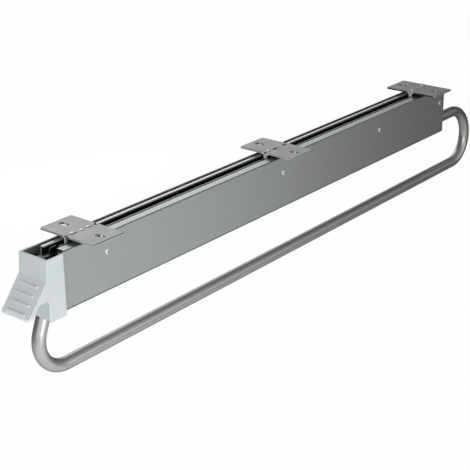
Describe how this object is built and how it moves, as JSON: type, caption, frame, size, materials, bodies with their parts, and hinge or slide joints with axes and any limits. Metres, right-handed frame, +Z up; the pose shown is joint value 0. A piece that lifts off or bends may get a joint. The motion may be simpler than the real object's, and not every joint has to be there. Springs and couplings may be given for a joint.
{
  "type": "pull-out clothes rail",
  "caption": "Pull-out wardrobe clothes rail with shelf brackets, a sheet-steel housing on a ball-bearing slide, a plastic handle and a bent hanging tube.",
  "frame": {"origin": "on the shelf's underside, at the middle of the middle bracket", "axes": "+X from the handle to the rear, +Y across towards the side without the slide, +Z up into the shelf"},
  "size_m": [0.6057, 0.053, 0.0989],
  "materials": {
    "housing": "satin grey",
    "zinc": "zinc plated",
    "tube": "satin",
    "balls": "bright",
    "handle": "pale grey, satin",
    "dark_plastic": "dark grey",
    "buffer": "black",
    "cage": "dull"
  },
  "bodies": {
    "shelf_fixing": {"front_bracket_near_plate": "zinc", "front_bracket_far_plate": "zinc", "front_bracket_front_rivet": "zinc", "front_bracket_rear_rivet": "zinc", "middle_bracket_near_plate": "zinc", "middle_bracket_far_plate": "zinc", "middle_bracket_front_rivet": "zinc", "middle_bracket_rear_rivet": "zinc", "rear_bracket_near_plate": "zinc", "rear_bracket_far_plate": "zinc", "rear_bracket_front_rivet": "zinc", "rear_bracket_rear_rivet": "zinc", "fixed_runner": "zinc", "closing_buffer": "buffer"},
    "middle_slide": {"middle_runner": "zinc"},
    "outer_cage": {"outer_ball_cage": "cage", "outer_lower_ball_1": "balls", "outer_lower_ball_2": "balls", "outer_lower_ball_3": "balls", "outer_lower_ball_4": "balls", "outer_upper_ball_1": "balls", "outer_upper_ball_2": "balls", "outer_upper_ball_3": "balls", "outer_upper_ball_4": "balls"},
    "inner_cage": {"inner_ball_cage": "cage", "inner_lower_ball_1": "balls", "inner_lower_ball_2": "balls", "inner_lower_ball_3": "balls", "inner_lower_ball_4": "balls", "inner_upper_ball_1": "balls", "inner_upper_ball_2": "balls", "inner_upper_ball_3": "balls", "inner_upper_ball_4": "balls"},
    "pull_out": {"housing_runner": "zinc", "housing": "housing", "housing_rivet_1": "zinc", "housing_rivet_2": "zinc", "housing_rivet_3": "zinc", "housing_rivet_4": "zinc", "front_handle": "handle", "handle_screw_near": "zinc", "handle_screw_far": "zinc", "hanging_tube": "tube", "tube_plug": "dark_plastic", "tube_screw": "zinc", "rear_tube_holder": "dark_plastic", "holder_rivet_near": "zinc", "holder_rivet_far": "zinc"}
  },
  "joints": [
    {"name": "pull_out_slide", "type": "slide", "parent": "shelf_fixing", "child": "pull_out", "axis": [-1, 0, 0], "range_m": [0, 0.42]},
    {"name": "middle_runner_slide", "type": "slide", "parent": "shelf_fixing", "child": "middle_slide", "axis": [-1, 0, 0], "range_m": [0, 0.21]},
    {"name": "outer_cage_slide", "type": "slide", "parent": "shelf_fixing", "child": "outer_cage", "axis": [-1, 0, 0], "range_m": [0, 0.315]},
    {"name": "inner_cage_slide", "type": "slide", "parent": "shelf_fixing", "child": "inner_cage", "axis": [-1, 0, 0], "range_m": [0, 0.105]}
  ],
  "couplings": [
    {"joint": "middle_runner_slide", "follows": "pull_out_slide", "ratio": 0.5},
    {"joint": "outer_cage_slide", "follows": "pull_out_slide", "ratio": 0.75},
    {"joint": "inner_cage_slide", "follows": "pull_out_slide", "ratio": 0.25}
  ]
}
